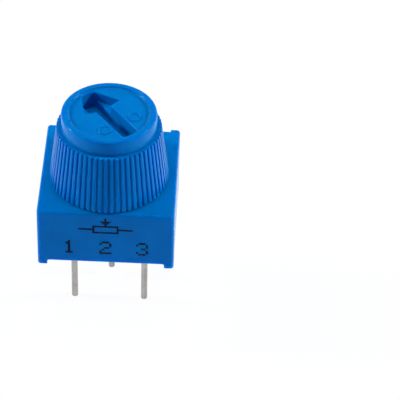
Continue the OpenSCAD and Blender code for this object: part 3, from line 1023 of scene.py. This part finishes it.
    def ring_section(self) -> list[tuple[float, float]]:
        """Gives the section of a moulding ring, from its outer foot to its inner foot.

        Returns:
            Points of (radius, height).
        """
        turn, steps = self.ring_edge_r, self.bevel_steps
        outer = (self.ring_r - turn, self.ring_t - turn)
        inner = (self.ring_r - self.ring_w + turn, self.ring_t - turn)
        return [(self.ring_r, 0.0), *arc(outer, turn, 0, 90, steps),
                *arc(inner, turn, 90, 180, steps), (self.ring_r - self.ring_w, 0.0)]

    def level_circle(self, centre: Vector, radius: float) -> list[BMEdge]:
        """Gives the edges of one level circle about a centre."""
        return self.shape.edges(lambda edge: all(
            abs((vert.co - centre).length - radius) < MERGE
            and abs(vert.co.z - centre.z) < MERGE for vert in edge.verts))

    def underside(self) -> None:
        """Makes the space inside the skirt, the hub and its socket."""
        depth = self.slot_z - self.floor_t - self.foot_z
        lean = (self.foot_r - self.shoulder_r) / (self.shoulder_z - self.foot_z)
        skirt = self.foot_r - self.skirt_t
        profile = [(skirt, self.foot_z), (skirt - depth * lean, self.foot_z + depth),
                   (self.hub_r, self.foot_z + depth), (self.hub_r, self.foot_z)]
        self.shape.revolve(profile, self.skirt_steps)
        between = (skirt + self.hub_r) / 2
        self.shape.fill(self.shape.rim_at(self.foot_z, r0=between))
        flat = math.degrees(math.acos((self.socket_r - self.socket_flat) / self.socket_r))
        outline = arc((0, 0), self.socket_r, 90 + flat, 450 - flat, self.socket_steps)
        socket = self.shape.line([(x, y, self.foot_z) for x, y in outline], closed=True)
        self.shape.fill(self.shape.rim_at(self.foot_z, r1=between))
        self.shape.cap(self.shape.rise(socket, self.foot_z + self.socket_l))


@dataclass
class Terminals:
    """The three tinned wires, each with the shoulder that seats it under the substrate."""

    finishes: Finishes
    radius: float = 0.23
    tip: float = 0.03
    tip_steps: int = 4
    shoulder_r: float = 0.42
    shoulder_low: float = 0.46
    shoulder_high: float = 0.98
    segments: int = 40

    def build(self) -> list[Object]:
        """Builds the three wires."""
        return [self.wire(number) for number in NUMBERS]

    def wire(self, number: int) -> Object:
        """Builds one wire by revolving its outline.

        Args:
            number: The terminal's number.

        Returns:
            The object.
        """
        low, high = corners(f"terminal_{number}")
        middle = (low + high) / 2
        tip = arc((self.radius - self.tip, low.z + self.tip), self.tip, -90, 0, self.tip_steps)
        profile = [(0.0, low.z), *tip, (self.radius, self.shoulder_low),
                   (self.shoulder_r, self.shoulder_low), (self.shoulder_r, self.shoulder_high),
                   (self.radius, self.shoulder_high), (self.radius, high.z), (0.0, high.z)]
        shape = Shape()
        shape.revolve(profile, self.segments)
        shape.place(Matrix.Translation((middle.x, middle.y, 0)))
        return shape.finish(f"terminal_wire_{number}", Body.CASE, Slot.WIRE,
                            self.finishes.of_slot[Slot.WIRE], f"terminal_{number}")


@dataclass
class Marking:
    """The print on the front wall: plain terminal numbers and a potentiometer's sign."""

    finishes: Finishes
    number_cell: float = 0.17
    sign_cell: float = 0.14
    dot_share: float = 0.95
    thickness: float = 0.012
    sunk: float = 0.004
    numbers_z: float = 1.12
    sign_z: float = 3.05
    digits: tuple[tuple[str, ...], ...] = (
        ("..#..", ".##..", "..#..", "..#..", "..#..", "..#..", ".###."),
        (".###.", "#...#", "....#", "..##.", ".#...", "#....", "#####"),
        (".###.", "#...#", "....#", "..##.", "....#", "#...#", ".###."),
    )
    sign: tuple[str, ...] = (
        ".............#.............",
        ".............#.............",
        "...........#####...........",
        "............###............",
        ".............#.............",
        ".......#############.......",
        ".......#...........#.......",
        "########...........########",
        ".......#...........#.......",
        ".......#############.......",
    )

    def build(self) -> list[Object]:
        """Builds the numbers and the sign.

        Returns:
            The objects.
        """
        pieces = []
        for number, rows in zip(NUMBERS, self.digits):
            low, high = corners(f"terminal_{number}")
            pieces.append(self.glyph(f"print_number_{number}", rows, self.number_cell,
                                     (low.x + high.x) / 2, self.numbers_z))
        pieces.append(self.glyph("print_sign", self.sign, self.sign_cell, 0.0, self.sign_z))
        return pieces

    def glyph(self, name: str, rows: Sequence[str], cell: float, middle: float,
              low: float) -> Object:
        """Builds one printed sign from its rows of cells.

        Args:
            name: The piece's name.
            rows: The sign's rows from the top, where # is ink.
            cell: Width and height of one cell.
            middle: Where its middle lies along X.
            low: Height of its lower edge.

        Returns:
            The object.
        """
        wide, tall = len(rows[0]), len(rows)
        wall = corners("housing")[0].y
        dot = self.dot_share * cell
        size = Matrix.Diagonal((dot, self.thickness, dot, 1.0))
        shape = Shape()
        for row, line in enumerate(rows):
            for column, mark in enumerate(line):
                if mark != "#":
                    continue
                place = Vector((middle + (column + 0.5 - wide / 2) * cell,
                                wall + self.sunk - self.thickness / 2,
                                low + (tall - row - 0.5) * cell))
                bmesh.ops.create_cube(shape.mesh, size=1.0,
                                      matrix=Matrix.Translation(place) @ size)
        return shape.finish(name, Body.CASE, Slot.CASE, self.finishes.ink)


@dataclass
class Inside:
    """What the housing and the knob hide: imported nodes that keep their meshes."""

    finishes: Finishes

    def dress(self) -> None:
        """Gives each node the material of its slot."""
        plan = {"rotor": Slot.ROTOR, "o_ring": Slot.RUBBER, "wiper": Slot.ALLOY,
                "substrate": Slot.CERAMIC, "resistive_track": Slot.CERMET,
                "collector": Slot.SILVER, "track_end_1": Slot.SILVER,
                "track_end_3": Slot.SILVER, "epoxy_seal": Slot.EPOXY}
        for number in NUMBERS:
            plan[f"pad_{number}"] = Slot.SILVER
            plan[f"solder_{number}"] = Slot.SOLDER
        for node, slot in plan.items():
            made, material = frame["nodes"][node], self.finishes.of_slot[slot]
            made.data.materials.clear()
            made.data.materials.append(material)
            LOG.info("%s: packed mesh, %s", node, material.name)


# ---------- studio ----------


@dataclass(frozen=True)
class Lamp:
    """A square soft box, aimed at the part."""

    name: str
    place: Point
    size: float
    power: float

    def build(self, aim: Vector) -> None:
        """Hangs the lamp and turns it to the point that it lights.

        Args:
            aim: The point, in metres.
        """
        light = bpy.data.lights.new(self.name, "AREA")
        light.shape = "SQUARE"
        light.size = self.size * MM
        light.energy = self.power
        made = bpy.data.objects.new(self.name, light)
        made.location = Vector(self.place) * MM
        made.rotation_euler = (made.location - aim).to_track_quat("Z", "Y").to_euler()
        bpy.context.scene.collection.objects.link(made)


@dataclass
class Studio:
    """A plain white floor, a white surround and soft lamps."""

    floor_size: float = 900.0
    floor_gap: float = 0.02
    paper: float = 0.9
    white: Colour = (1.0, 1.0, 1.0)
    fill: float = 0.22
    fill_tint: Colour = (0.15, 0.3, 1.0)
    bounce: float = 0.18
    walls_end: tuple[float, float] = (0.05, 0.3)
    ceiling: float = 0.05
    shadow: float = 0.05
    shadow_reach: tuple[float, float] = (60.0, 200.0)
    aim: Point = (0.0, -2.5, 5.0)
    lamps: tuple[Lamp, ...] = (
        Lamp("lamp_top", (0.0, 0.0, 205.0), 110.0, 0.145),
        Lamp("lamp_left", (-176.0, 12.0, 97.0), 28.0, 0.31),
        Lamp("lamp_right", (176.0, 12.0, 97.0), 28.0, 0.32),
        Lamp("lamp_front", (-90.0, -95.0, 140.0), 110.0, 0.015),
    )

    def build(self) -> None:
        """Sets the studio up."""
        self.floor(min(corners(f"terminal_{number}")[0].z for number in NUMBERS) - self.floor_gap)
        self.surround()
        for lamp in self.lamps:
            lamp.build(Vector(self.aim) * MM)

    @staticmethod
    def seen(graph: Graph, mirrored: object = 1.0) -> NodeSocket:
        """Picks the rays that look at the background, and leaves out those that carry light.

        Args:
            graph: The material's or the world's graph.
            mirrored: How much of the background reflections and refractions show.

        Returns:
            1 for the camera, the given share for reflections and refractions, 0 for the rest.
        """
        rays = graph.add("ShaderNodeLightPath").outputs
        mirror = graph.maths("MAXIMUM", rays["Is Glossy Ray"], rays["Is Transmission Ray"])
        return graph.maths("MAXIMUM", rays["Is Camera Ray"],
                           graph.maths("MULTIPLY", mirror, mirrored))

    def floor(self, z: float) -> None:
        """Lays the floor just under the wires' tips.

        Args:
            z: Its height.
        """
        shape = Shape()
        bmesh.ops.create_grid(shape.mesh, x_segments=1, y_segments=1, size=self.floor_size / 2,
                              matrix=Matrix.Translation((0, 0, z)))
        shape.place(Matrix.Scale(MM, 4))
        made = shape.to_object("floor")
        made.data.materials.append(self.floor_white())

    def floor_white(self) -> Material:
        """Builds the floor's material: white to look at, but for the shadow near the part.

        From below it lets the view through.

        Returns:
            The material.
        """
        material = bpy.data.materials.new("floor_white")
        material.use_nodes = True
        graph = Graph(material.node_tree)
        graph.tree.nodes.clear()
        paper = graph.out("ShaderNodeBsdfDiffuse", {"Color": (*[self.paper] * 3, 1.0)})
        lift = graph.shine("ShaderNodeEmission", self.fill_tint, self.bounce)
        matte = graph.out("ShaderNodeAddShader", {0: paper, 1: lift})
        white = graph.shine("ShaderNodeEmission", self.white, 1.0)
        away = graph.add("ShaderNodeVectorMath", {
            0: graph.add("ShaderNodeTexCoord").outputs["Object"]}, operation="LENGTH").outputs[1]
        shaded = graph.span(away, *(reach * MM for reach in self.shadow_reach), self.shadow, 0.0)
        factor = graph.maths("MULTIPLY", self.seen(graph), graph.maths("SUBTRACT", 1.0, shaded))
        above = graph.out("ShaderNodeMixShader", {0: factor, 1: matte, 2: white})
        below = graph.add("ShaderNodeNewGeometry").outputs["Backfacing"]
        clear = graph.out("ShaderNodeBsdfTransparent", {})
        mixed = graph.out("ShaderNodeMixShader", {0: below, 1: above, 2: clear})
        graph.add("ShaderNodeOutputMaterial", {"Surface": mixed})
        return material

    def surround(self) -> None:
        """Makes the surround: white to look at, plain fill light to the part.

        A reflection sees white walls that end in a dim ceiling.
        """
        world = bpy.data.worlds.new("surround")
        bpy.context.scene.world = world
        world.use_nodes = True
        graph = Graph(world.node_tree)
        graph.tree.nodes.clear()
        light = graph.shine("ShaderNodeBackground", self.fill_tint, self.fill)
        white = graph.shine("ShaderNodeBackground", self.white, 1.0)
        way = graph.add("ShaderNodeTexCoord").outputs["Generated"]
        height = graph.add("ShaderNodeSeparateXYZ", {0: way}).outputs[2]
        walls = graph.span(height, *self.walls_end, 1.0, self.ceiling)
        mixed = graph.out("ShaderNodeMixShader", {0: self.seen(graph, walls), 1: light, 2: white})
        graph.add("ShaderNodeOutputWorld", {"Surface": mixed})


@dataclass
class CameraRig:
    """The camera, by the angle that it looks from."""

    aim: Point = (6.415, -2.54, 2.824)
    azimuth: float = 0.684
    elevation: float = 41.244
    distance: float = 156.45
    roll: float = 1.93
    lens: float = 199.25
    sensor: float = 36.0
    sight: tuple[float, float] = (0.005, 5.0)

    def build(self) -> None:
        """Puts the camera up."""
        turn, tilt = math.radians(self.azimuth), math.radians(self.elevation)
        back = Vector((math.sin(turn) * math.cos(tilt), -math.cos(turn) * math.cos(tilt),
                       math.sin(tilt)))
        camera = bpy.data.cameras.new("camera")
        camera.lens = self.lens
        camera.sensor_width = self.sensor
        camera.clip_start, camera.clip_end = self.sight
        made = bpy.data.objects.new("camera", camera)
        made.location = (Vector(self.aim) + back * self.distance) * MM
        facing = back.to_track_quat("Z", "Y") @ Quaternion((0, 0, 1), math.radians(self.roll))
        made.rotation_euler = facing.to_euler()
        bpy.context.scene.collection.objects.link(made)
        bpy.context.scene.camera = made


def main() -> None:
    """Builds the part's looks, the studio and the camera."""
    logging.basicConfig(level=logging.INFO, format="%(name)s: %(message)s")
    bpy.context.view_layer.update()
    bpy.context.scene.view_settings.view_transform = "Standard"
    finishes = Finishes()
    Housing(finishes).build()
    Knob(finishes).build()
    Terminals(finishes).build()
    Marking(finishes).build()
    Inside(finishes).dress()
    Studio().build()
    CameraRig().build()


if __name__ == "__main__":
    main()
